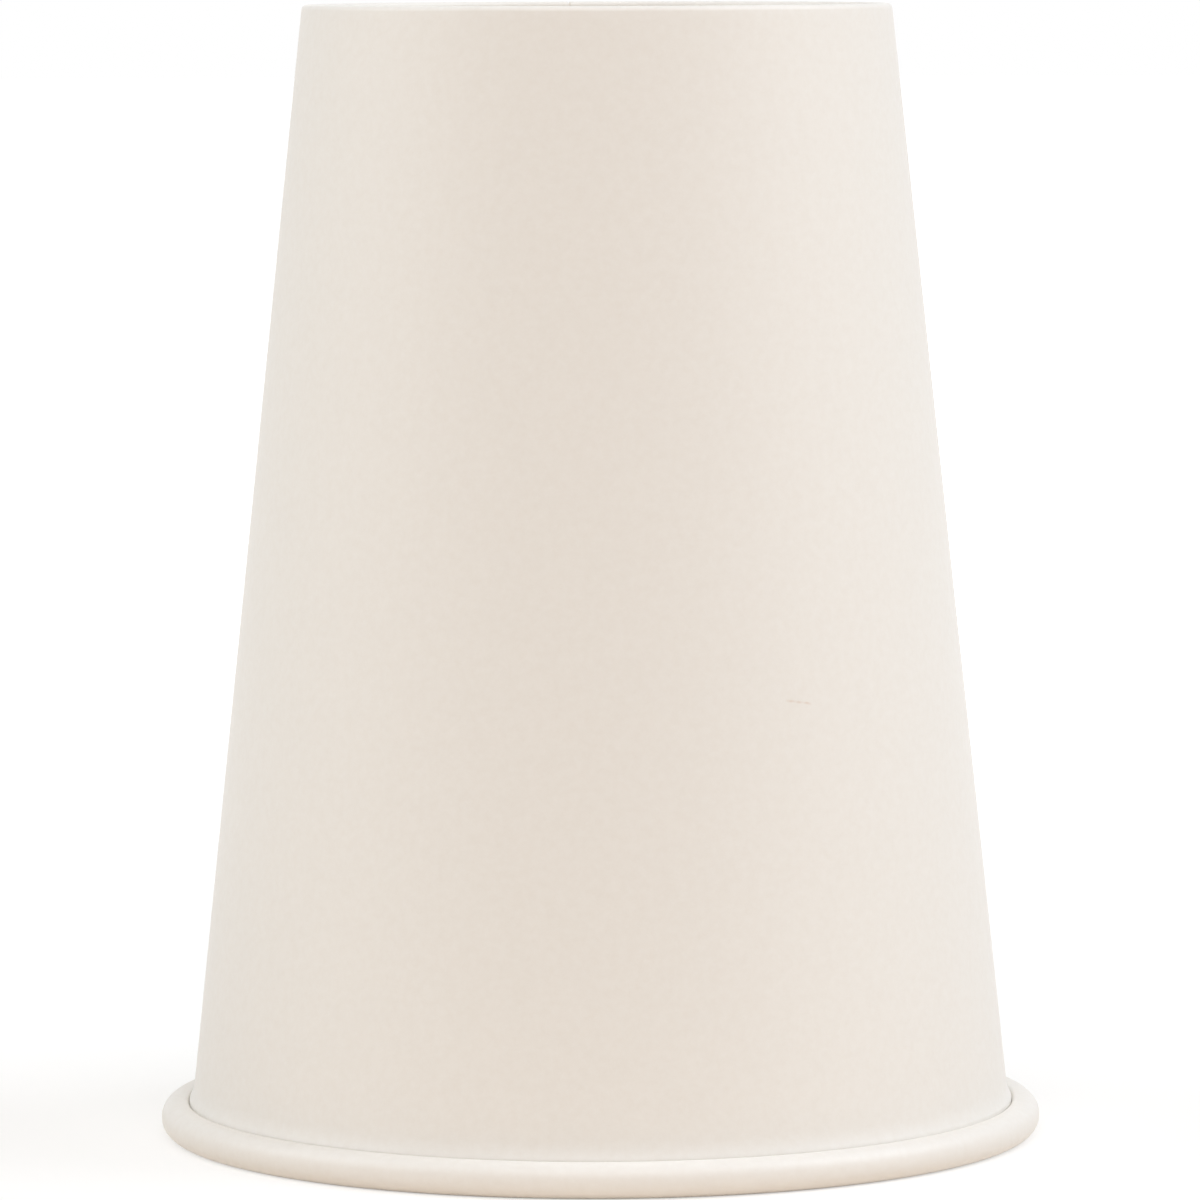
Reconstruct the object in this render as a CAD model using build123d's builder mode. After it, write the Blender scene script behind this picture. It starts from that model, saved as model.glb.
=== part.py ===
"""Tapered paper cup standing upside down on its rolled rim.

The frame has +Z up and its origin at the centre of the circle that the rim rests on, so the
base ring is at the top. The side seam of the wall is at the back, on the +Y side.
"""

from build123d import *
from math import acos, atan2, cos, degrees, radians, sin, tan
import os

# Whole cup
rim_diameter = 90.0  # across the rolled rim
base_diameter = 59.8  # across the outside of the wall at the base ring
cup_height = 115.2  # rim to base ring
wall_board = 0.38  # coated board of the wall
bottom_board = 0.30  # coated board of the bottom

# Rolled rim
roll_height = 3.5  # top of the roll above the circle that it rests on
roll_overhang = 3.2  # roll outside the wall's outer face
roll_round = 1.65  # outside radius of the roll's two outer corners
roll_corner = 1.1  # outside radius of its two corners at the wall
roll_gap = 0.05  # between the turns of the roll
roll_tail = 0.6  # last flat stretch, hidden inside the roll

# Base fold: the wall's end is turned in over the bottom's skirt
fold_depth = 6.0  # from the base ring to the cut edge inside
fold_round = 0.6  # outside radius of the fold's outer bend
fold_pinch = 0.03  # inside radius of its inner bend
seal_gap = 0.04  # film of coating between the sealed layers
knurl_count = 72  # pressed grooves round the inside of the fold
knurl_depth = 0.12
knurl_width = 0.9
knurl_margin = 0.9  # plain band between the fold's bend and the grooves

# Bottom
recess = 8.0  # base ring to the bottom's outer face
bottom_bend = 0.35  # inside radius of the bend from the disc to its skirt
skirt_shy = 0.5  # skirt's cut edge to the inside of the base fold

# Side seam
lap_width = 7.0  # doubled board at mid height
lap_sink = 0.03  # how far the lap's flat run ends below the round wall
lap_crush = 0.8  # length over which the base ring presses the lap flush
seam_side = 90.0  # where the seam is, from +X towards +Y, in degrees

# Worked out from the sizes above
rim_radius = rim_diameter / 2
lip_radius = rim_radius - roll_overhang
taper = atan2(lip_radius - base_diameter / 2, cup_height - roll_height)
taper_angle = degrees(taper)
half_board = wall_board / 2


def wall_radius(height, inset=0.0):
    """Radius at a height of the cone that lies a given distance inside the wall's outer face."""
    return lip_radius - (height - roll_height) * tan(taper) - inset / cos(taper)


def wall_point(height, inset=0.0):
    """The same place as a point of a section, with the radius first and the height second."""
    return (wall_radius(height, inset), height)


# Layers, counted inwards from the wall's outer face to the middle of each board
skirt_inset = wall_board + seal_gap + bottom_board / 2
fold_inset = wall_board + 2 * seal_gap + bottom_board + half_board
tuck_inset = half_board - wall_board - roll_gap

# Bends, as radii and heights of the middle of the board
fold_mid = fold_round - half_board
fold_centre = cup_height - fold_round
pinch_mid = fold_pinch + half_board
pinch_centre = cup_height - half_board - pinch_mid
roll_mid = roll_round - half_board
corner_mid = roll_corner - half_board
tuck_mid = corner_mid - wall_board - roll_gap
bottom_mid = bottom_bend + bottom_board / 2
bottom_height = cup_height - recess - bottom_board / 2

# One sheet, from its cut edge inside the base fold to its cut edge inside the roll
crest_end = (wall_radius(fold_centre + fold_mid * sin(taper), half_board) - fold_mid * cos(taper),
             cup_height - half_board)
wall_end = wall_point(roll_corner - corner_mid * sin(taper), half_board)
shoulder_foot = roll_height - roll_corner - corner_mid * sin(taper)
shoulder_end = (wall_radius(shoulder_foot, tuck_inset) + corner_mid * cos(taper),
                roll_height - half_board)
tuck_end = wall_point(roll_corner - tuck_mid * sin(taper), tuck_inset)

with BuildSketch(Plane.XZ) as sheet_section:
    with BuildLine():
        fold_leg = Line(wall_point(cup_height - fold_depth, fold_inset),
                        wall_point(pinch_centre - pinch_mid * sin(taper), fold_inset))
        inner_bend = JernArc(fold_leg @ 1, fold_leg % 1, pinch_mid, -90 - taper_angle)
        crest = Line(inner_bend @ 1, crest_end)
        outer_bend = JernArc(crest @ 1, crest % 1, fold_mid, -90 + taper_angle)
        wall_line = Line(outer_bend @ 1, wall_end)
        lip_corner = JernArc(wall_line @ 1, wall_line % 1, corner_mid, 90 - taper_angle)
        rest_line = Line(lip_corner @ 1, (rim_radius - roll_round, half_board))
        low_corner = JernArc(rest_line @ 1, rest_line % 1, roll_mid, 90)
        rim_side = Line(low_corner @ 1, (rim_radius - half_board, roll_height - roll_round))
        high_corner = JernArc(rim_side @ 1, rim_side % 1, roll_mid, 90)
        shoulder = Line(high_corner @ 1, shoulder_end)
        crease_corner = JernArc(shoulder @ 1, shoulder % 1, corner_mid, 90 + taper_angle)
        tuck = Line(crease_corner @ 1, tuck_end)
        tuck_corner = JernArc(tuck @ 1, tuck % 1, tuck_mid, 90 - taper_angle)
        Line(tuck_corner @ 1, tuck_corner @ 1 + Vector(roll_tail, 0))
    trace(line_width=wall_board)

# Side seam. The sheet's outer end lies over its inner end, and beyond the inner end's cut edge it
# runs straight until it meets the round wall again, so that run is flat, on both faces.
lap_low = roll_height + roll_gap
lap_top = fold_centre
lap_angle = lap_width / 2 / wall_radius(cup_height / 2)


def seam_section(height, low_angle, inset):
    """Four corners of the seam's slice at a height, under the flat run's face at that inset."""
    radius = wall_radius(height)
    flat_radius = radius - lap_sink
    flat_angle = lap_angle + acos(flat_radius / (radius + wall_board))
    inner_radius = radius - 4 * wall_board
    edge_radius = (flat_radius - inset) / cos(flat_angle - low_angle)
    places = [(edge_radius, low_angle), (flat_radius - inset, flat_angle),
              (inner_radius, flat_angle), (inner_radius, low_angle)]
    turn = radians(seam_side)
    return [(r * cos(turn - angle), r * sin(turn - angle)) for r, angle in places]


with BuildPart() as outer_lap:
    with BuildSketch(Plane.XZ):
        Polygon(wall_point(lap_low, half_board), wall_point(lap_low, -wall_board),
                wall_point(lap_top - lap_crush, -wall_board), wall_point(lap_top, half_board),
                align=None)
    revolve(axis=Axis.Z)
    for height in (0, cup_height):
        with BuildSketch(Plane.XY.offset(height)):
            Polygon(*seam_section(height, -lap_angle, 0), align=None)
    loft(ruled=True, mode=Mode.INTERSECT)

lap_reveal_top = bottom_height - bottom_board / 2 - seal_gap
with BuildPart() as lap_reveal:
    for height in (lap_low, lap_reveal_top):
        with BuildSketch(Plane.XY.offset(height)):
            Polygon(*seam_section(height, lap_angle, wall_board), align=None)
    loft(ruled=True)

# One pressed groove of the base fold, along the fold's inner face
groove_foot = wall_point(cup_height - fold_depth - knurl_depth, fold_inset + half_board)
groove_plane = Plane(origin=(groove_foot[0], 0, groove_foot[1]), x_dir=(0, 1, 0),
                     z_dir=(-sin(taper), 0, cos(taper)))
groove_length = (pinch_centre - knurl_margin - groove_foot[1]) / cos(taper)
with BuildPart() as groove:
    with BuildSketch(groove_plane):
        Polygon((-knurl_width / 2, 0), (0, -knurl_depth), (knurl_width / 2, 0), (0, knurl_depth),
                align=None)
    extrude(amount=groove_length)

# Wall: rolled rim, cone with its lapped seam, and knurled base fold, all of one sheet
with BuildPart() as side_wall:
    add(sheet_section.sketch)
    revolve(axis=Axis.Z)
    add(outer_lap.part)
    add(lap_reveal.part, mode=Mode.SUBTRACT)
    with PolarLocations(0, knurl_count):
        add(groove.part, mode=Mode.SUBTRACT)
side_wall.part.label = "side_wall"

# Bottom: a flat disc with a turned skirt, held between the wall and the base fold
skirt_foot = bottom_height + bottom_mid + bottom_mid * sin(taper)
with BuildPart() as bottom_disc:
    with BuildSketch(Plane.XZ):
        with BuildLine():
            disc = Line((0, bottom_height),
                        (wall_radius(skirt_foot, skirt_inset) - bottom_mid * cos(taper), bottom_height))
            turn = JernArc(disc @ 1, disc % 1, bottom_mid, 90 + taper_angle)
            Line(turn @ 1, wall_point(cup_height - wall_board - skirt_shy, skirt_inset))
        trace(line_width=bottom_board)
    revolve(axis=Axis.Z)
bottom_disc.part.label = "bottom_disc"

os.makedirs("parts", exist_ok=True)
export_step(side_wall.part, "parts/side_wall.step")
export_step(bottom_disc.part, "parts/bottom_disc.step")
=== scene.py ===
"""A plain coated paper cup, standing upside down on its rolled rim.

The cup is made of two pieces of board: the wall sheet, with its side seam, rolled rim and base
fold, and the bottom with its turned skirt. Each is built here as the sheet that it is, on the
section of the CAD piece that it replaces, and the wall leans out a little just above the roll.
Sections are drawn with the radius first and the height second. The wall's middle line runs from
the base fold down the wall into the roll, and the bottom's from its middle out to its skirt.
"""

from math import acos, atan2, cos, pi, radians, sin, tan

import bmesh
import bpy
import numpy as np
from bpy.props import FloatProperty, FloatVectorProperty, IntProperty, PointerProperty
from bpy.types import Operator, Panel, PropertyGroup
from mathutils import Matrix, Vector


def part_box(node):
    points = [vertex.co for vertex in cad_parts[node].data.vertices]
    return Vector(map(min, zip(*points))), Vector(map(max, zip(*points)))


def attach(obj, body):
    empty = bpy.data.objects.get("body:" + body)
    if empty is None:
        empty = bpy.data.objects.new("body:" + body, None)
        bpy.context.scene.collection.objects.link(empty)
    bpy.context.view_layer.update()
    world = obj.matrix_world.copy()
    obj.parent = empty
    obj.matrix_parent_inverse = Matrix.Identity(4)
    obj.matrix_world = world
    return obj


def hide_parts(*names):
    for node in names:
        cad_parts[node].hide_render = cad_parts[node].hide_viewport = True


bl_info = {
    "name": "Paper Cup",
    "version": (1, 0, 0),
    "blender": (4, 5, 0),
    "location": "3D View > Sidebar > Cup",
    "description": "Builds a coated paper cup with its seam, rolled rim and base fold, in a small studio",
    "category": "Add Mesh",
}

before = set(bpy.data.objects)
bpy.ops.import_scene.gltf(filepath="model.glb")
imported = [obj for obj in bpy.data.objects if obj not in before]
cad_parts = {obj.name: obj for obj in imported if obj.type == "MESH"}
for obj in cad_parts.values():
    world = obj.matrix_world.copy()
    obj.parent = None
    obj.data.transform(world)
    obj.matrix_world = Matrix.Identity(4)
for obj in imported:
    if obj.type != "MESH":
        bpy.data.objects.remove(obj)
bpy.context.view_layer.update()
wall_low, wall_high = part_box("side_wall")

MM = 0.001

# Mesh sizes
COLUMNS_PER_GROOVE = 8
SHARP_FROM = radians(40)  # faces that meet at more than this have a sharp edge
GROOVE_FADE = 0.4 * MM  # length over which a groove runs out
LAP_RECOVERY = 0.5 * MM  # length over which the board regains its thickness beside a pressed lap
HUB_RADIUS = 1.0 * MM  # middle of the bottom, closed with triangles
PLEAT_WAVES = ((61, 0.4), (83, 2.1), (97, 4.4))  # waves round the bottom, with their phases

# Patterns of the board, in millimetres
FLOC_SIZE = 0.9
TOOTH_SIZE = 0.3
TOOTH_DEPTH = 0.012
CUT_GRAIN_SIZE = 0.15
CUT_GRAIN_DEPTH = 0.03
FIBRE_WAVE = 0.8
FIBRE_SWAY = 0.2

# Strength of the patterns
FIBRE_DABS = 3  # stronger stretches along the fibre
FIBRE_COVER = (0.25, 0.6)  # share of its colour between them and on them
SATIN_SPREAD = 0.04  # roughness above and below its middle value

# Studio, in metres
LAMP_SIZE = 1.2
KEY_PLACE = (1.22, 0.0, 1.24)
FILL_PLACE = (-1.35, 0.0, 1.08)
FRONT_PLACE = (0.0, -1.04, 1.4)
FLOOR_RADIUS = 6.0


def linear(hex_colour):
    """The scene-linear colour of an sRGB hex value."""
    parts = [int(hex_colour[i:i + 2], 16) / 255 for i in (1, 3, 5)]
    return tuple(c / 12.92 if c <= 0.04045 else ((c + 0.055) / 1.055) ** 2.4 for c in parts)


def length(name, description, millimetres):
    """A length property, given in millimetres and kept in metres."""
    return FloatProperty(name=name, description=description, default=millimetres * MM,
                         unit="LENGTH", precision=5)


def angle(name, description, degrees):
    """An angle property, given in degrees and kept in radians."""
    return FloatProperty(name=name, description=description, default=radians(degrees),
                         subtype="ANGLE")


def lamp_power(name, description, watts):
    """A lamp's power property."""
    return FloatProperty(name=name, description=description, default=watts, unit="POWER")


def colour(name, description, hex_colour):
    """A colour property, given as an sRGB hex value and kept in linear light."""
    return FloatVectorProperty(name=name, description=description, default=linear(hex_colour),
                               subtype="COLOR", min=0, max=1)


class WallSizes(PropertyGroup):
    """Sizes of the wall sheet."""

    rim_radius: length("Rim radius", "Axis to the outside of the rolled rim",
                       (wall_high.x - wall_low.x) / 2 / MM)
    height: length("Height", "Rim to base ring", (wall_high.z - wall_low.z) / MM)
    base_radius: length("Base radius", "Axis to the outside of the wall at the base ring", 29.9)
    board: length("Board", "Thickness of the wall's coated board", 0.38)
    roll_height: length("Roll height", "Top of the roll above the circle that it rests on", 3.5)
    roll_overhang: length("Roll overhang", "Roll outside the wall's outer face", 3.2)
    roll_round: length("Roll round", "Outside radius of the roll's two outer corners", 1.65)
    roll_lip: length("Roll lip", "Outside radius of the roll's lower corner at the wall", 1.1)
    roll_crease: length("Roll crease", "Outside radius of its upper corner at the wall", 0.5)
    roll_gap: length("Roll gap", "Between the turns of the roll", 0.02)
    roll_tail: length("Roll tail", "Last flat stretch, hidden inside the roll", 0.6)
    flare_height: length("Flare height", "Where the wall starts to lean out to the roll", 5.3)
    flare_round: length("Flare round", "Radius of the bend that leans it out", 5.2)
    flare_back: length("Flare back", "Radius of the bend that stands it upright in the roll", 0.6)
    flare_lean: angle("Flare lean", "Greatest lean, from upright", 26)
    fold_depth: length("Fold depth", "Base ring to the cut edge of the turned-in end", 6.0)
    fold_round: length("Fold round", "Outside radius of the base fold's outer bend", 0.6)
    fold_pinch: length("Fold pinch", "Inside radius of the base fold's inner bend", 0.03)
    seal_gap: length("Seal gap", "Film of coating between the sealed layers", 0.04)
    lap_width: length("Lap width", "Doubled board of the side seam at mid height", 7.0)
    lap_sink: length("Lap sink", "How far the lap's flat run ends below the round wall", 0.03)
    lap_film: length("Lap film", "Coating between the two layers of the seam", 0.02)
    lap_crush: length("Lap crush", "Length over which rim and base press the lap flush", 1.2)
    seam_side: angle("Seam side", "Where the seam is, from the right towards the back", 90)
    knurl_count: IntProperty(name="Grooves", description="Pressed grooves round the base fold",
                             default=72)
    knurl_depth: length("Groove depth", "Depth of a pressed groove", 0.12)
    knurl_width: length("Groove width", "Width of a pressed groove", 0.9)
    knurl_margin: length("Groove margin", "Plain band between the bend and the grooves", 0.9)


class BottomSizes(PropertyGroup):
    """Sizes of the bottom."""

    board: length("Board", "Thickness of the bottom's coated board", 0.30)
    recess: length("Recess", "Base ring to the bottom's outer face", 8.0)
    bend: length("Bend", "Inside radius of the bend from the disc to its skirt", 0.35)
    skirt_shy: length("Skirt end", "Skirt's cut edge to the inside of the base fold", 0.5)
    crown: length("Crown", "How far the middle of the disc gives towards the inside", 0.25)
    pleat: length("Pleat", "Depth of the fine pleats in the bend", 0.03)


class BoardFinish(PropertyGroup):
    """Colours and finish of the board."""

    board: colour("Board", "Bleached, coated board", "#F0EDE7")
    floc: colour("Floc", "Denser clouds of fibre under the coating", "#EDE9E2")
    cut: colour("Cut edge", "Open fibre at a cut edge", "#EADCC8")
    fibre: colour("Fibre", "The one stray fibre in the wall's front", "#DCC9B8")
    fibre_bearing: angle("Fibre bearing", "Middle of the fibre, from the front to the right", 31.8)
    fibre_height: length("Fibre height", "Middle of the fibre above the rim", 47.15)
    fibre_length: length("Fibre length", "Length of the fibre", 2.7)
    fibre_width: length("Fibre width", "Width of the fibre", 0.2)
    fibre_drop: length("Fibre drop", "How much lower its right end lies", 0.45)
    roughness: FloatProperty(name="Roughness", description="Satin of the chill-roll coating",
                             default=0.45, min=0, max=1)


class Studio(PropertyGroup):
    """Camera, lamps and floor."""

    distance: length("Distance", "Camera in front of the cup's axis", 756.728)
    height: length("Height", "Camera above the floor", 121.345)
    lens: length("Lens", "Focal length on a 36 mm sensor", 223.118)
    yaw: angle("Yaw", "Camera turned to the right", 0.009)
    pitch: angle("Pitch", "Camera turned up", -5.05)
    roll: angle("Roll", "Camera rolled", -0.19)
    key: lamp_power("Key", "Soft lamp on the right", 17.2)
    key_tint: colour("Key tint", "Colour of the key lamp", "#ECF5FF")
    fill: lamp_power("Fill", "Soft lamp on the left", 11.6)
    fill_tint: colour("Fill tint", "Colour of the fill lamp", "#F0F9FF")
    front: lamp_power("Front", "Soft lamp high in front", 11.1)
    front_tint: colour("Front tint", "Colour of the front lamp", "#FFF7F4")
    room: FloatProperty(name="Room", description="Even light from all around", default=0.25)
    room_tint: colour("Room tint", "Colour of the even light", "#FFF9F4")
    floor: colour("Floor", "Pale floor, in the light that it throws on the cup", "#FBEFE2")
    floor_seen: colour("Floor seen", "The same floor in the picture, under its glow", "#B0B0B0")
    floor_glow: colour("Floor glow", "Brings the floor up to white, in the picture only", "#CDCCCA")
    glow_start: length("Glow start", "Distance from the cup where the floor starts to turn white", 150)
    glow_end: length("Glow end", "Distance from which the floor is white", 600)


# Sections


def bend(radius, turn, steps):
    """An arc of a section: its length, its turn in radians, anticlockwise positive, and its steps."""
    return radius * abs(turn), turn, steps


def follow(start, heading, runs):
    """Points, left-hand normals and run numbers along a section's middle line.

    Each run is a length, a turn in radians and a number of steps.
    """
    points, headings, numbers = [np.array(start, float)], [heading], [0]
    for number, (run, turn, steps) in enumerate(runs):
        for _ in range(steps):
            chord = run / steps * np.sinc(turn / steps / 2 / pi)
            direction = headings[-1] + turn / steps / 2
            points.append(points[-1] + chord * np.array((cos(direction), sin(direction))))
            headings.append(headings[-1] + turn / steps)
            numbers.append(number)
    headings = np.array(headings)
    return np.array(points), np.stack((-np.sin(headings), np.cos(headings)), 1), np.array(numbers)


def ease(value):
    """Runs smoothly from 0 to 1 as value does."""
    value = np.clip(value, 0, 1)
    return value * value * (3 - 2 * value)


class Cone:
    """The wall's outer face, and the cones that lie a given distance inside it."""

    def __init__(self, wall):
        self.low_radius = wall.rim_radius - wall.roll_overhang
        self.low_height = wall.roll_height
        self.taper = atan2(self.low_radius - wall.base_radius, wall.height - wall.roll_height)

    def radius(self, height, inset=0.0):
        """Radius at a height."""
        slope_in = (height - self.low_height) * tan(self.taper)
        return self.low_radius - slope_in - inset / cos(self.taper)

    def run(self, high, low):
        """Length down the wall between two heights."""
        return (high - low) / cos(self.taper)


class WallSection:
    """The middle line of the wall's board, from its cut edge in the fold to that in the roll."""

    def __init__(self, wall, bottom):
        self.cone = cone = Cone(wall)
        taper = cone.taper
        half = wall.board / 2
        layers = half + bottom.board + 2 * wall.seal_gap + half
        fold_mid = wall.fold_round - half
        fold_centre = wall.height - wall.fold_round
        pinch_mid = wall.fold_pinch + half
        pinch_centre = wall.height - half - pinch_mid
        roll_mid = wall.roll_round - half
        lip_mid = wall.roll_lip - half
        crease_mid = wall.roll_crease - half
        tuck_shift = wall.board + wall.roll_gap
        tuck_mid = lip_mid - tuck_shift

        leg_low = wall.height - wall.fold_depth
        leg_high = pinch_centre - pinch_mid * sin(taper)
        groove_end = pinch_centre - wall.knurl_margin
        wall_top = fold_centre + fold_mid * sin(taper)
        crest_start = cone.radius(leg_high, half + layers) + pinch_mid * cos(taper)
        crest_end = cone.radius(wall_top, half) - fold_mid * cos(taper)
        crush_top = wall_top - 2 * wall.lap_crush
        crush_low = wall.roll_height + 2 * wall.lap_crush

        # The wall leans out just above the roll, and stands upright inside it
        lean = wall.flare_lean
        flare_out = (wall.flare_round * (cos(taper) - cos(lean))
                     + wall.flare_back * (1 - cos(lean)))
        flare_drop = wall.flare_round * (sin(lean) - sin(taper)) + wall.flare_back * sin(lean)
        upright = cone.radius(wall.flare_height, half) + flare_out
        roll_centre = wall.rim_radius - wall.roll_round
        up = pi / 2

        runs = [
            (cone.run(groove_end - GROOVE_FADE, leg_low), 0, 3),
            (cone.run(groove_end, groove_end - GROOVE_FADE), 0, 1),
            (cone.run(leg_high, groove_end), 0, 1),
            bend(pinch_mid, -up - taper, 6),
            (crest_end - crest_start, 0, 1),
            bend(fold_mid, taper - up, 6),
            (cone.run(wall_top, crush_top), 0, 4),
            (cone.run(crush_top, crush_low), 0, 6),
            (cone.run(crush_low, wall.flare_height), 0, 2),
            bend(wall.flare_round, lean - taper, 7),
            bend(wall.flare_back, -lean, 4),
            (wall.flare_height - flare_drop - wall.roll_lip, 0, 1),
            bend(lip_mid, up, 6),
            (roll_centre - upright - lip_mid, 0, 1),
            bend(roll_mid, up, 8),
            (wall.roll_height - 2 * wall.roll_round, 0, 1),
            bend(roll_mid, up, 8),
            (roll_centre - upright - tuck_shift - crease_mid, 0, 1),
            bend(crease_mid, up, 5),
            (wall.roll_height - wall.roll_crease - wall.roll_lip, 0, 1),
            bend(tuck_mid, up, 4),
            (wall.roll_tail, 0, 1),
        ]

        # Places in that list, of the grooved leg and of the wall with its flare
        grooved_runs, wall_runs = (0,), (6, 7, 8, 9)
        start = (cone.radius(leg_low, half + layers), leg_low)
        self.points, self.normals, self.numbers = follow(start, up + taper, runs)
        self.grooved = np.isin(self.numbers, grooved_runs)

        # The lap is doubled board along the open wall, and pressed to one board at rim and base
        height = self.points[:, 1]
        near_base = ease((height - wall_top + wall.lap_crush) / wall.lap_crush)
        near_rim = ease((wall.roll_height + wall.lap_crush - height) / wall.lap_crush)
        self.crush = np.where(np.isin(self.numbers, wall_runs), np.maximum(near_base, near_rim), 1.0)


def lap_faces(wall, section, along):
    """Inner and outer face of the sheet, from its middle line, at an angle along the sheet.

    The sheet starts at its inner cut edge, goes once round, runs flat as it leaves the round
    wall, and ends on top of its own start.
    """
    half, crush = wall.board / 2, section.crush
    lap = 2 * lap_half_angle(wall, section.cone)
    flat = flat_run_angle(wall, section.cone)
    under = half - crush * (half + wall.lap_film / 2)
    over_inner = under + wall.lap_film
    over_outer = half + (1 - crush) * (wall.board + wall.lap_film)
    inner = np.full(len(crush), -half)
    outer = np.full(len(crush), half)
    recover = LAP_RECOVERY / wall.rim_radius
    if along < lap + recover:
        outer = under + (outer - under) * ease((along - lap) / recover)
    if along > 2 * pi - flat:
        rise = min(1, (along - 2 * pi + flat) / flat) ** 2
        inner = inner + rise * (over_inner - inner)
        outer = outer + rise * (over_outer - outer)
    return inner, outer


def lap_half_angle(wall, cone):
    """Half the angle that the lap takes up."""
    return wall.lap_width / 2 / cone.radius(wall.height / 2)


def flat_run_angle(wall, cone):
    """Angle over which the sheet runs flat from the round wall to the top of the lap."""
    radius = cone.radius(wall.height / 2)
    return acos((radius - wall.lap_sink) / (radius + wall.board))


def sheet_angles(wall, cone, step):
    """Angles along the sheet, on a grid that the grooves share, with one at each change of form.

    A grid angle nearer to a change than a third of a step gives way to it.
    """
    lap, flat = 2 * lap_half_angle(wall, cone), flat_run_angle(wall, cone)
    recover = LAP_RECOVERY / wall.rim_radius
    start = wall.seam_side - lap / 2
    first = np.ceil(start / step) * step - start
    grid = np.arange(first, 2 * pi + lap, step)
    changes = np.array((0, lap, lap + recover, 2 * pi - flat, 2 * pi, 2 * pi + lap))
    clear = np.abs(grid[:, None] - changes).min(1) > step / 3
    return np.sort(np.concatenate((grid[clear], changes)))


def groove(wall, bearing, radius):
    """Share of a groove's depth at a bearing, on a fold of that radius."""
    pitch = 2 * pi / wall.knurl_count
    off = abs((bearing + pitch / 2) % pitch - pitch / 2) * radius
    return max(0.0, 1 - off / (wall.knurl_width / 2))


# Meshes


def place(ring, bearing):
    """Section points turned about the axis to a bearing."""
    return np.stack((ring[:, 0] * cos(bearing), ring[:, 0] * sin(bearing), ring[:, 1]), 1)


def loop_quads(columns, loop, closed):
    """Quads between neighbouring columns of a closed loop of points."""
    count = columns if closed else columns - 1
    left = np.repeat(np.arange(count), loop)
    right = (left + 1) % columns
    low = np.tile(np.arange(loop), count)
    high = (low + 1) % loop
    return np.stack((left * loop + low, left * loop + high, right * loop + high, right * loop + low), 1)


def make_piece(name, points, faces, cut_faces, materials):
    """A smooth mesh object, with its cut edges sharp and in the second material."""
    mesh = bpy.data.meshes.new(name)
    mesh.from_pydata(points.tolist(), [], [list(face) for face in faces])
    mesh.polygons.foreach_set("material_index", np.asarray(cut_faces, dtype=np.int32))
    mesh.shade_smooth()
    mesh.set_sharp_from_angle(angle=SHARP_FROM)
    for material in materials:
        mesh.materials.append(material)
    mesh.validate()
    piece = bpy.data.objects.new(name, mesh)
    bpy.context.scene.collection.objects.link(piece)
    return piece


def wall_mesh(wall, bottom):
    """Points, faces and cut-edge marks of the wall sheet."""
    section = WallSection(wall, bottom)
    middle, normals = section.points, section.normals
    count = len(middle)
    column_step = 2 * pi / (COLUMNS_PER_GROOVE * wall.knurl_count)
    angles = sheet_angles(wall, section.cone, column_step)
    start = wall.seam_side - lap_half_angle(wall, section.cone)
    columns = []
    for along in angles:
        bearing = start + along
        inner, outer = lap_faces(wall, section, along)
        pressed = wall.knurl_depth * groove(wall, bearing, middle[0, 0])
        outer = outer - pressed * section.grooved
        ring = np.concatenate((middle + outer[:, None] * normals,
                               (middle + inner[:, None] * normals)[::-1]))
        columns.append(place(ring, bearing))
    loop = 2 * count
    sides = loop_quads(len(angles), loop, closed=False)
    across = np.isin(np.tile(np.arange(loop), len(angles) - 1), (count - 1, loop - 1))
    near = np.arange(count - 1)
    first_end = np.stack((loop - 1 - near, loop - 2 - near, near + 1, near), 1)
    last_end = (first_end + (len(angles) - 1) * loop)[:, ::-1]
    faces = np.concatenate((sides, first_end, last_end))
    cut_faces = np.concatenate((across, np.ones(2 * (count - 1), bool)))
    return np.concatenate(columns), faces, cut_faces


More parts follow.
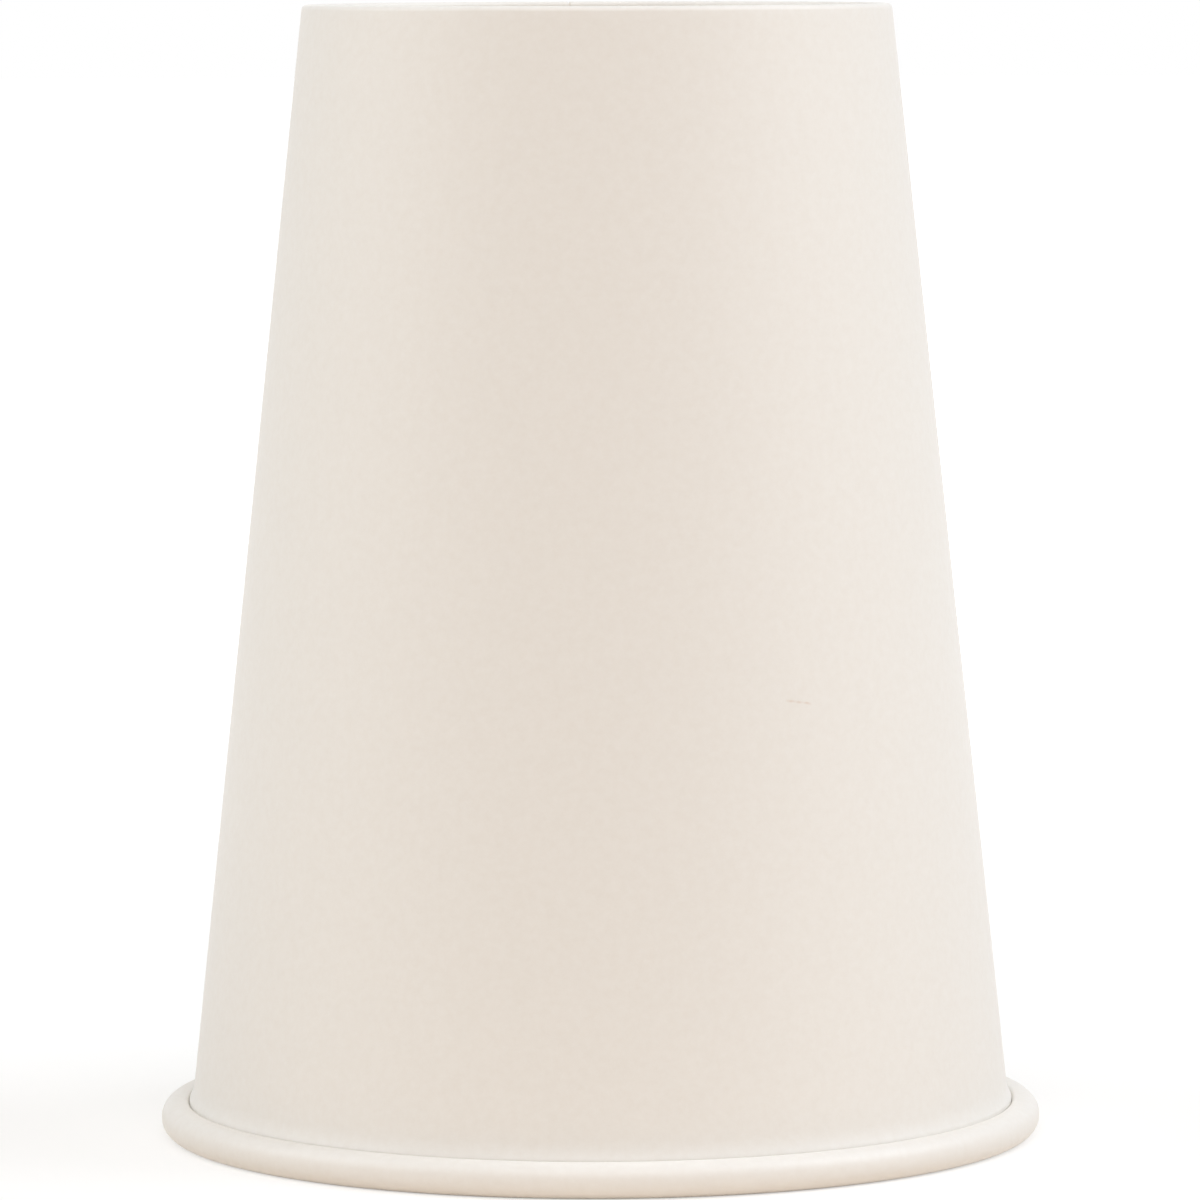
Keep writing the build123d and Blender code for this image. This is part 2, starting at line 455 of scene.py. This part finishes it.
def bottom_mesh(wall, bottom):
    """Points, faces and cut-edge marks of the bottom."""
    cone = Cone(wall)
    half = bottom.board / 2
    bend_mid = bottom.bend + half
    inset = wall.board + wall.seal_gap + half
    disc_height = wall.height - bottom.recess - half
    skirt_foot = disc_height + bend_mid * (1 + sin(cone.taper))
    skirt_end = wall.height - wall.board - bottom.skirt_shy
    disc_radius = cone.radius(skirt_foot, inset) - bend_mid * cos(cone.taper)
    disc_run, bend_run, skirt_run = range(3)
    runs = [
        (disc_radius - HUB_RADIUS, 0, 14),
        bend(bend_mid, pi / 2 + cone.taper, 7),
        (cone.run(skirt_end, skirt_foot), 0, 8),
    ]
    middle, normals, numbers = follow((HUB_RADIUS, disc_height), 0, runs)
    crown = bottom.crown * (1 - (middle[:, 0] / disc_radius) ** 2)
    middle[:, 1] -= np.where(numbers == disc_run, crown, 0)
    pleated = np.where(numbers == bend_run, 1.0, 0.0)
    pleated[numbers == skirt_run] = np.linspace(1, 0, (numbers == skirt_run).sum())
    count = len(middle)
    column_count = COLUMNS_PER_GROOVE * wall.knurl_count
    columns = []
    for bearing in np.arange(column_count) * 2 * pi / column_count:
        ripples = [sin(waves * bearing + phase) for waves, phase in PLEAT_WAVES]
        ripple = sum(ripples) / len(ripples)
        shift = bottom.pleat * max(0.0, ripple) * pleated
        ring = np.concatenate((middle + (half + shift)[:, None] * normals,
                               (middle + (shift - half)[:, None] * normals)[::-1]))
        columns.append(place(ring, bearing))
    loop = 2 * count
    sides = loop_quads(column_count, loop, closed=True)
    loop_places = np.tile(np.arange(loop), column_count)
    sides, loop_places = sides[loop_places != loop - 1], loop_places[loop_places != loop - 1]
    here = np.arange(column_count)
    after = (here + 1) % column_count
    crown_height = disc_height - bottom.crown
    poles = np.array(((0, 0, crown_height + half), (0, 0, crown_height - half)))
    top, under = column_count * loop, column_count * loop + 1
    faces = sides.tolist()
    faces += [[top, a * loop, b * loop] for a, b in zip(here, after)]
    faces += [[under, b * loop + loop - 1, a * loop + loop - 1] for a, b in zip(here, after)]
    cut_faces = np.concatenate((loop_places == count - 1, np.zeros(2 * column_count, bool)))
    return np.concatenate((*columns, poles)), faces, cut_faces


# Materials


def add_node(tree, kind, inputs=None, **settings):
    """Adds a node, sets it, and fills its inputs with values or links."""
    node = tree.nodes.new(kind)
    for name, value in settings.items():
        setattr(node, name, value)
    for name, value in (inputs or {}).items():
        if isinstance(value, bpy.types.NodeSocket):
            tree.links.new(value, node.inputs[name])
        else:
            node.inputs[name].default_value = value
    return node


def per_metre(millimetres):
    """Texture scale of a pattern that repeats at that size."""
    return 1 / (millimetres * MM)


def new_material(name):
    """An empty node material."""
    material = bpy.data.materials.new(name)
    material.use_nodes = True
    material.node_tree.nodes.clear()
    return material


def stray_fibre(tree, finish, cone, position):
    """Cover of the one fibre that lies in the wall's front, a short soft streak in three dabs."""
    half_turn = finish.fibre_length / 2 / cone.radius(finish.fibre_height)
    ends = []
    for side in (-1, 1):
        height = finish.fibre_height - side * finish.fibre_drop / 2
        bearing = finish.fibre_bearing + side * half_turn
        radius = cone.radius(height)
        ends.append(Vector((radius * sin(bearing), -radius * cos(bearing), height)))
    along = ends[1] - ends[0]
    wander = add_node(tree, "ShaderNodeTexNoise",
                      {"Vector": position, "Scale": per_metre(FIBRE_WAVE), "Detail": 1.0})
    sway = add_node(tree, "ShaderNodeVectorMath",
                    {0: wander.outputs["Color"], 1: (0.5, 0.5, 0.5)}, operation="SUBTRACT")
    swayed = add_node(tree, "ShaderNodeVectorMath",
                      {0: sway.outputs[0], 1: (FIBRE_SWAY * MM,) * 3, 2: position},
                      operation="MULTIPLY_ADD")
    out = add_node(tree, "ShaderNodeVectorMath", {0: swayed.outputs[0], 1: ends[0]},
                   operation="SUBTRACT")
    share = add_node(tree, "ShaderNodeVectorMath", {0: out.outputs[0], 1: along / along.length_squared},
                     operation="DOT_PRODUCT")
    held = add_node(tree, "ShaderNodeClamp", {"Value": share.outputs["Value"]})
    nearest = add_node(tree, "ShaderNodeVectorMath", {0: along, "Scale": held.outputs[0]},
                       operation="SCALE")
    away = add_node(tree, "ShaderNodeVectorMath", {0: out.outputs[0], 1: nearest.outputs[0]},
                    operation="DISTANCE")
    streak = add_node(tree, "ShaderNodeMapRange",
                      {"Value": away.outputs["Value"], "From Min": finish.fibre_width, "From Max": 0.0},
                      interpolation_type="SMOOTHSTEP")
    dabs = add_node(tree, "ShaderNodeMath", {0: held.outputs[0], 1: 2 * pi * FIBRE_DABS},
                    operation="MULTIPLY")
    wave = add_node(tree, "ShaderNodeMath", {0: dabs.outputs[0]}, operation="COSINE")
    strength = add_node(tree, "ShaderNodeMapRange",
                        {"Value": wave.outputs[0], "From Min": 1.0, "From Max": -1.0,
                         "To Min": FIBRE_COVER[0], "To Max": FIBRE_COVER[1]})
    return add_node(tree, "ShaderNodeMath", {0: streak.outputs[0], 1: strength.outputs[0]},
                    operation="MULTIPLY").outputs[0]


def coated_cup_board(finish, cone=None):
    """Bleached cup board with a satin coating of polyethylene from a chill roll.

    The eye sees a warm white with a soft broad sheen. Faint clouds of denser fibre show through
    the film, and the film itself follows the board's fine tooth.
    """
    material = new_material("coated_cup_board_front" if cone else "coated_cup_board")
    tree = material.node_tree
    position = add_node(tree, "ShaderNodeTexCoord").outputs["Object"]
    clouds = add_node(tree, "ShaderNodeTexNoise",
                      {"Vector": position, "Scale": per_metre(FLOC_SIZE), "Detail": 4.0,
                       "Roughness": 0.7})
    cover = add_node(tree, "ShaderNodeMapRange",
                     {"Value": clouds.outputs[0], "From Min": 0.3, "From Max": 0.7})
    tint = add_node(tree, "ShaderNodeMix", {"Factor": cover.outputs[0]}, data_type="RGBA")
    tint.inputs["A"].default_value = (*finish.board, 1)
    tint.inputs["B"].default_value = (*finish.floc, 1)
    shade = tint.outputs["Result"]
    if cone:
        with_fibre = add_node(tree, "ShaderNodeMix",
                              {"Factor": stray_fibre(tree, finish, cone, position), "A": shade},
                              data_type="RGBA")
        with_fibre.inputs["B"].default_value = (*finish.fibre, 1)
        shade = with_fibre.outputs["Result"]

    # The real tooth of about 0.1 mm is too fine to show, so it is drawn three times as coarse
    tooth = add_node(tree, "ShaderNodeTexNoise",
                     {"Vector": position, "Scale": per_metre(TOOTH_SIZE), "Detail": 2.0})
    relief = add_node(tree, "ShaderNodeBump",
                      {"Height": tooth.outputs[0], "Strength": 0.35, "Distance": TOOTH_DEPTH * MM})
    satin = add_node(tree, "ShaderNodeMapRange",
                     {"Value": clouds.outputs[0], "From Min": 0.3, "From Max": 0.7,
                      "To Min": finish.roughness - SATIN_SPREAD,
                      "To Max": finish.roughness + SATIN_SPREAD})
    surface = add_node(tree, "ShaderNodeBsdfPrincipled",
                       {"Base Color": shade, "Roughness": satin.outputs[0], "IOR": 1.51,
                        "Normal": relief.outputs[0]})
    add_node(tree, "ShaderNodeOutputMaterial", {"Surface": surface.outputs[0]})
    return material


def die_cut_board_edge(finish):
    """Cut edge of the board, where a die has opened the fibre.

    It has no coating, so it is dull and a little creamier, with a fine layered grain.
    """
    material = new_material("die_cut_board_edge")
    tree = material.node_tree
    position = add_node(tree, "ShaderNodeTexCoord").outputs["Object"]
    grain = add_node(tree, "ShaderNodeTexNoise",
                     {"Vector": position, "Scale": per_metre(CUT_GRAIN_SIZE), "Detail": 3.0})
    tint = add_node(tree, "ShaderNodeMix", {"Factor": grain.outputs[0]}, data_type="RGBA")
    tint.inputs["A"].default_value = (*finish.cut, 1)
    tint.inputs["B"].default_value = (*finish.floc, 1)
    relief = add_node(tree, "ShaderNodeBump",
                      {"Height": grain.outputs[0], "Strength": 0.5, "Distance": CUT_GRAIN_DEPTH * MM})
    surface = add_node(tree, "ShaderNodeBsdfPrincipled",
                       {"Base Color": tint.outputs["Result"], "Roughness": 0.9, "IOR": 1.45,
                        "Normal": relief.outputs[0]})
    add_node(tree, "ShaderNodeOutputMaterial", {"Surface": surface.outputs[0]})
    return material


def seen_directly(tree):
    """1 for rays from the camera, mirrors and glass, and 0 for the light on the cup."""
    path = add_node(tree, "ShaderNodeLightPath")
    either = add_node(tree, "ShaderNodeMath",
                      {0: path.outputs["Is Camera Ray"], 1: path.outputs["Is Glossy Ray"]},
                      operation="MAXIMUM")
    return add_node(tree, "ShaderNodeMath",
                    {0: either.outputs[0], 1: path.outputs["Is Transmission Ray"]},
                    operation="MAXIMUM").outputs[0]


def matt_studio_floor(studio):
    """Painted studio floor. It is matt and near white, and keeps a soft shadow of the cup."""
    material = new_material("matt_studio_floor")
    tree = material.node_tree
    position = add_node(tree, "ShaderNodeTexCoord").outputs["Object"]
    distance = add_node(tree, "ShaderNodeVectorMath", {0: position}, operation="LENGTH")
    far_off = add_node(tree, "ShaderNodeMapRange",
                       {"Value": distance.outputs["Value"], "From Min": studio.glow_start,
                        "From Max": studio.glow_end})
    glow_colour = add_node(tree, "ShaderNodeMix", {"Factor": far_off.outputs[0]}, data_type="RGBA")
    glow_colour.inputs["A"].default_value = (*studio.floor_glow, 1)
    glow_colour.inputs["B"].default_value = (1, 1, 1, 1)
    seen = seen_directly(tree)
    paint_colour = add_node(tree, "ShaderNodeMix", {"Factor": seen}, data_type="RGBA")
    paint_colour.inputs["A"].default_value = (*studio.floor, 1)
    paint_colour.inputs["B"].default_value = (*studio.floor_seen, 1)
    paint = add_node(tree, "ShaderNodeBsdfDiffuse", {"Color": paint_colour.outputs["Result"]})
    glow = add_node(tree, "ShaderNodeEmission",
                    {"Color": glow_colour.outputs["Result"], "Strength": seen})
    both = add_node(tree, "ShaderNodeAddShader", {0: paint.outputs[0], 1: glow.outputs[0]})
    add_node(tree, "ShaderNodeOutputMaterial", {"Surface": both.outputs[0]})
    return material


# Stage


def add_floor(studio):
    """A round floor, wide enough to reach the horizon of every view."""
    mesh = bpy.data.meshes.new("studio_floor")
    shape = bmesh.new()
    bmesh.ops.create_circle(shape, cap_ends=True, segments=128, radius=FLOOR_RADIUS)
    shape.to_mesh(mesh)
    shape.free()
    mesh.materials.append(matt_studio_floor(studio))
    floor = bpy.data.objects.new("studio_floor", mesh)
    bpy.context.scene.collection.objects.link(floor)


def add_room(studio):
    """Even light from all around, in front of a white background."""
    world = bpy.data.worlds.new("white_room")
    world.use_nodes = True
    tree = world.node_tree
    tree.nodes.clear()
    light = add_node(tree, "ShaderNodeBackground",
                     {"Color": (*studio.room_tint, 1), "Strength": studio.room})
    backdrop = add_node(tree, "ShaderNodeBackground", {"Color": (1, 1, 1, 1), "Strength": 1.0})
    mixed = add_node(tree, "ShaderNodeMixShader",
                     {0: seen_directly(tree), 1: light.outputs[0], 2: backdrop.outputs[0]})
    add_node(tree, "ShaderNodeOutputWorld", {"Surface": mixed.outputs[0]})
    bpy.context.scene.world = world


def add_lamp(name, power, place_at, aim, tint):
    """A square soft lamp, which lights the cup and isn't seen itself."""
    data = bpy.data.lights.new(name, "AREA")
    data.shape = "SQUARE"
    data.size = LAMP_SIZE
    data.energy = power
    data.color = tint
    lamp = bpy.data.objects.new(name, data)
    lamp.location = place_at
    lamp.rotation_euler = (Vector(aim) - Vector(place_at)).to_track_quat("-Z", "Y").to_euler()
    lamp.visible_camera = False
    bpy.context.scene.collection.objects.link(lamp)


def add_camera(studio):
    """A long lens, level with the cup's base and turned down to its rim."""
    data = bpy.data.cameras.new("studio_camera")
    data.sensor_width = 36
    data.lens = studio.lens / MM
    data.clip_start, data.clip_end = 0.01, 20
    camera = bpy.data.objects.new("studio_camera", data)
    camera.matrix_world = (Matrix.Translation((0, -studio.distance, studio.height))
                           @ Matrix.Rotation(-studio.yaw, 4, "Z")
                           @ Matrix.Rotation(pi / 2 + studio.pitch, 4, "X")
                           @ Matrix.Rotation(studio.roll, 4, "Z"))
    bpy.context.scene.collection.objects.link(camera)
    bpy.context.scene.camera = camera


# Operators


class CUP_OT_wall_sheet(Operator):
    """Build the wall sheet with its seam, rolled rim and base fold"""

    bl_idname = "cup.wall_sheet"
    bl_label = "Wall Sheet"

    def execute(self, context):
        wall, finish = context.scene.cup_wall, context.scene.cup_finish
        materials = (coated_cup_board(finish, Cone(wall)), die_cut_board_edge(finish))
        form = wall_mesh(wall, context.scene.cup_bottom)
        sheet = make_piece("cup_wall_sheet", *form, materials)
        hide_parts("side_wall")
        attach(sheet, "root")
        return {"FINISHED"}


class CUP_OT_bottom(Operator):
    """Build the bottom disc with its turned skirt"""

    bl_idname = "cup.bottom"
    bl_label = "Bottom"

    def execute(self, context):
        finish = context.scene.cup_finish
        materials = (coated_cup_board(finish), die_cut_board_edge(finish))
        form = bottom_mesh(context.scene.cup_wall, context.scene.cup_bottom)
        disc = make_piece("cup_bottom", *form, materials)
        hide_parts("bottom_disc")
        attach(disc, "root")
        return {"FINISHED"}


class CUP_OT_studio(Operator):
    """Set up the floor, the lamps, the white room and the camera"""

    bl_idname = "cup.studio"
    bl_label = "Studio"

    def execute(self, context):
        studio = context.scene.cup_studio
        middle = (0, 0, context.scene.cup_wall.height / 2)
        add_floor(studio)
        add_room(studio)
        add_lamp("key_lamp", studio.key, KEY_PLACE, middle, studio.key_tint)
        add_lamp("fill_lamp", studio.fill, FILL_PLACE, middle, studio.fill_tint)
        add_lamp("front_lamp", studio.front, FRONT_PLACE, middle, studio.front_tint)
        add_camera(studio)
        return {"FINISHED"}


class CUP_PT_sidebar(Panel):
    """The cup's steps and sizes, in the 3D view's sidebar"""

    bl_idname = "CUP_PT_sidebar"
    bl_label = "Paper Cup"
    bl_space_type = "VIEW_3D"
    bl_region_type = "UI"
    bl_category = "Cup"

    def draw(self, context):
        layout = self.layout
        scene = context.scene
        for operator in OPERATORS:
            layout.operator(operator.bl_idname)
        for group in (scene.cup_wall, scene.cup_bottom, scene.cup_finish, scene.cup_studio):
            box = layout.box()
            for name in type(group).__annotations__:
                box.prop(group, name)


OPERATORS = (CUP_OT_wall_sheet, CUP_OT_bottom, CUP_OT_studio)
GROUPS = {"cup_wall": WallSizes, "cup_bottom": BottomSizes, "cup_finish": BoardFinish,
          "cup_studio": Studio}


def register():
    """Registers the classes and hangs the settings on the scene."""
    for cls in (*GROUPS.values(), *OPERATORS, CUP_PT_sidebar):
        bpy.utils.register_class(cls)
    for name, group in GROUPS.items():
        setattr(bpy.types.Scene, name, PointerProperty(type=group))


def unregister():
    """Takes the settings and classes away again."""
    for name in GROUPS:
        delattr(bpy.types.Scene, name)
    for cls in (CUP_PT_sidebar, *reversed(OPERATORS), *reversed(GROUPS.values())):
        bpy.utils.unregister_class(cls)


def main():
    """Builds the cup and its studio."""
    register()
    bpy.context.scene.view_settings.view_transform = "Standard"
    bpy.ops.cup.wall_sheet()
    bpy.ops.cup.bottom()
    bpy.ops.cup.studio()
    bpy.context.view_layer.update()


if __name__ == "__main__":
    main()
